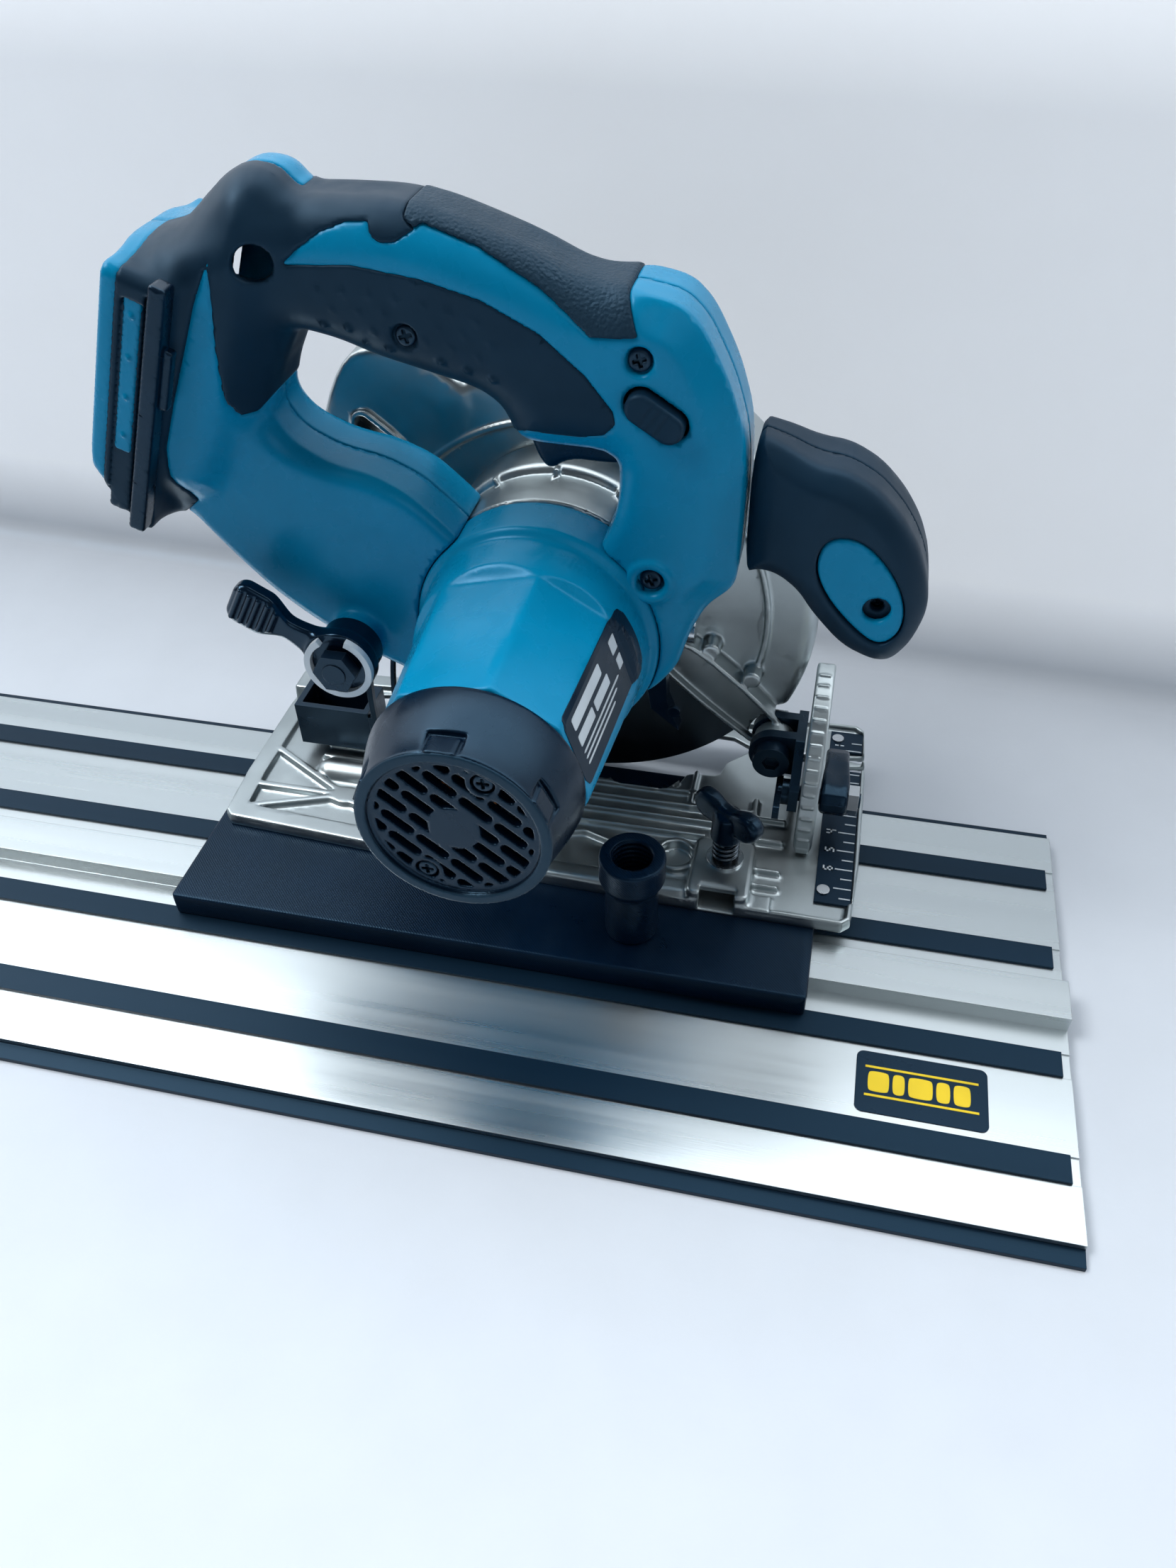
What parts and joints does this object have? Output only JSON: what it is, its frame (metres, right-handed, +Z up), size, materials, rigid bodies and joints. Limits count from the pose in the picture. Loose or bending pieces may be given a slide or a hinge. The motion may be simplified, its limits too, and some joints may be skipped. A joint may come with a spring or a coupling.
{
  "type": "track saw",
  "caption": "Cordless circular saw on an adapter plate that slides along a guide rail; the body plunges about a front pivot and tilts for bevel cuts.",
  "frame": {"origin": "middle of the saw base along the rail, in the mouth of the slot under the rail rib, at the rail underside", "axes": "+X forward along the cut, +Y towards the blade side, +Z up"},
  "size_m": [0.5, 0.2195, 0.254],
  "materials": {
    "rail_aluminium": "brushed anodised aluminium extrusion, fine lengthwise brushing",
    "black_strip": "black low-friction strip with a faint lengthwise texture",
    "label_dark": "blank dark label with plain yellow bars",
    "printed_black": "black printed plastic with fine diagonal layer lines",
    "cast_silver": "bead-blasted die-cast aluminium",
    "scale_black": "black scale strip with white ticks and plain numbers",
    "zinc_steel": "bright zinc-plated steel",
    "black_steel": "black oxide and black painted steel",
    "spring_steel": "dark spring wire",
    "black_plastic": "semi-gloss black glass-filled nylon",
    "teal_plastic": "semi-gloss teal moulded nylon",
    "black_rubber": "soft black overmould, grained on top",
    "blade_steel": "ground saw-plate steel with carbide tips",
    "ground_steel": "ground and hardened steel",
    "lamination": "laminated electrical steel",
    "copper": "enamelled copper wire and copper segments",
    "carbon": "pressed carbon",
    "white_plastic": "light grey plastic",
    "lamp_black": "glossy black lamp housing"
  },
  "bodies": {
    "guide_rail": {"rail_extrusion": "rail_aluminium", "grip_strips": "black_strip", "splinter_guards": "black_strip", "anti_slip_pads": "black_strip", "rail_label": "label_dark"},
    "carriage": {"adapter_plate": "printed_black", "base_plate": "cast_silver", "scale_plate": "scale_black", "base_fasteners": "zinc_steel", "fence_spring": "spring_steel", "bevel_quadrant": "cast_silver"},
    "brake_knob": {"adapter_knob": "printed_black"},
    "fence_clamp": {"fence_screw": "black_plastic"},
    "bevel_frame": {"front_bracket": "black_steel", "depth_pivot_bolt": "black_steel", "bracket_nuts": "zinc_steel", "bevel_bolt": "black_steel", "rear_bracket": "black_steel", "depth_guide": "black_steel"},
    "bevel_clamp": {"bevel_lever": "black_plastic"},
    "saw_body": {"blade_case": "cast_silver", "gear_housing": "cast_silver", "motor_bearings": "ground_steel", "spindle_bearings": "ground_steel", "guard_spring": "spring_steel", "end_cap": "black_plastic", "motor_housing": "teal_plastic", "motor_stator": "black_steel", "brush_gear": "black_plastic", "carbon_brushes": "carbon", "handle_near": "teal_plastic", "handle_far": "teal_plastic", "handle_overmould": "black_rubber", "housing_screws": "black_steel", "front_grip_near": "black_rubber", "front_grip_far": "black_rubber", "grip_inserts": "teal_plastic", "battery_rails": "black_plastic", "terminal_block": "black_plastic", "switch": "black_plastic", "power_leads": "black_rubber", "depth_bolt": "black_steel", "work_light": "lamp_black"},
    "blade_guard": {"lower_guard": "cast_silver"},
    "blade_spindle": {"saw_blade": "blade_steel", "blade_flanges": "zinc_steel", "blade_bolt": "black_steel", "spindle": "ground_steel", "drive_gear": "ground_steel"},
    "rotor": {"armature": "lamination", "armature_windings": "copper", "commutator": "copper", "cooling_fan": "black_plastic", "pinion": "ground_steel"},
    "spindle_lock": {"shaft_lock": "ground_steel"},
    "trigger_body": {"trigger": "black_plastic"},
    "lock_off": {"lock_off_button": "black_plastic"},
    "depth_clamp": {"depth_lever": "black_plastic", "depth_stop_ring": "white_plastic", "depth_nut": "black_steel"}
  },
  "joints": [
    {"name": "carriage_slide", "type": "slide", "parent": "guide_rail", "child": "carriage", "axis": [1, 0, 0], "range_m": [-0.17, 0.085]},
    {"name": "brake_knob_turn", "type": "hinge", "parent": "carriage", "child": "brake_knob", "pos_m": [0.0465, -0.0015, 0.03], "axis": [0, 0, 1], "range_deg": [0, 360]},
    {"name": "fence_clamp_turn", "type": "hinge", "parent": "carriage", "child": "fence_clamp", "pos_m": [0.076, 0.031, 0.04], "axis": [0, 0, 1], "range_deg": [0, 360]},
    {"name": "bevel_tilt", "type": "hinge", "parent": "carriage", "child": "bevel_frame", "pos_m": [0, 0.099, 0.022], "axis": [1, 0, 0], "range_deg": [-50, 0]},
    {"name": "bevel_clamp_turn", "type": "hinge", "parent": "bevel_frame", "child": "bevel_clamp", "pos_m": [0.113, 0.05728, 0.03886], "axis": [1, 0, 0], "range_deg": [0, 60]},
    {"name": "depth_swing", "type": "hinge", "parent": "bevel_frame", "child": "saw_body", "pos_m": [0.088, 0.074, 0.049], "axis": [0, -1, 0], "range_deg": [-2.5, 30]},
    {"name": "guard_retract", "type": "hinge", "parent": "saw_body", "child": "blade_guard", "pos_m": [0.0065, 0.094, 0.095], "axis": [0, 1, 0], "range_deg": [0, 140]},
    {"name": "blade_spin", "type": "hinge", "parent": "saw_body", "child": "blade_spindle", "pos_m": [0.0065, 0.099, 0.095], "axis": [0, 1, 0], "continuous": true},
    {"name": "rotor_spin", "type": "hinge", "parent": "saw_body", "child": "rotor", "pos_m": [0.00801, 0, 0.11895], "axis": [0, 1, 0], "continuous": true},
    {"name": "spindle_lock_push", "type": "slide", "parent": "saw_body", "child": "spindle_lock", "axis": [-1, 0, 0], "range_m": [0, 0.003]},
    {"name": "trigger_pull", "type": "hinge", "parent": "saw_body", "child": "trigger_body", "pos_m": [0.032, 0.045, 0.186], "axis": [0, 1, 0], "range_deg": [0, 10]},
    {"name": "lock_off_push", "type": "slide", "parent": "saw_body", "child": "lock_off", "axis": [0, 1, 0], "range_m": [0, 0.003]},
    {"name": "depth_clamp_turn", "type": "hinge", "parent": "saw_body", "child": "depth_clamp", "pos_m": [-0.055, 0.015, 0.112], "axis": [0, 1, 0], "range_deg": [-20, 35]}
  ],
  "couplings": [
    {"joint": "rotor_spin", "follows": "blade_spin", "ratio": -5.6667}
  ]
}
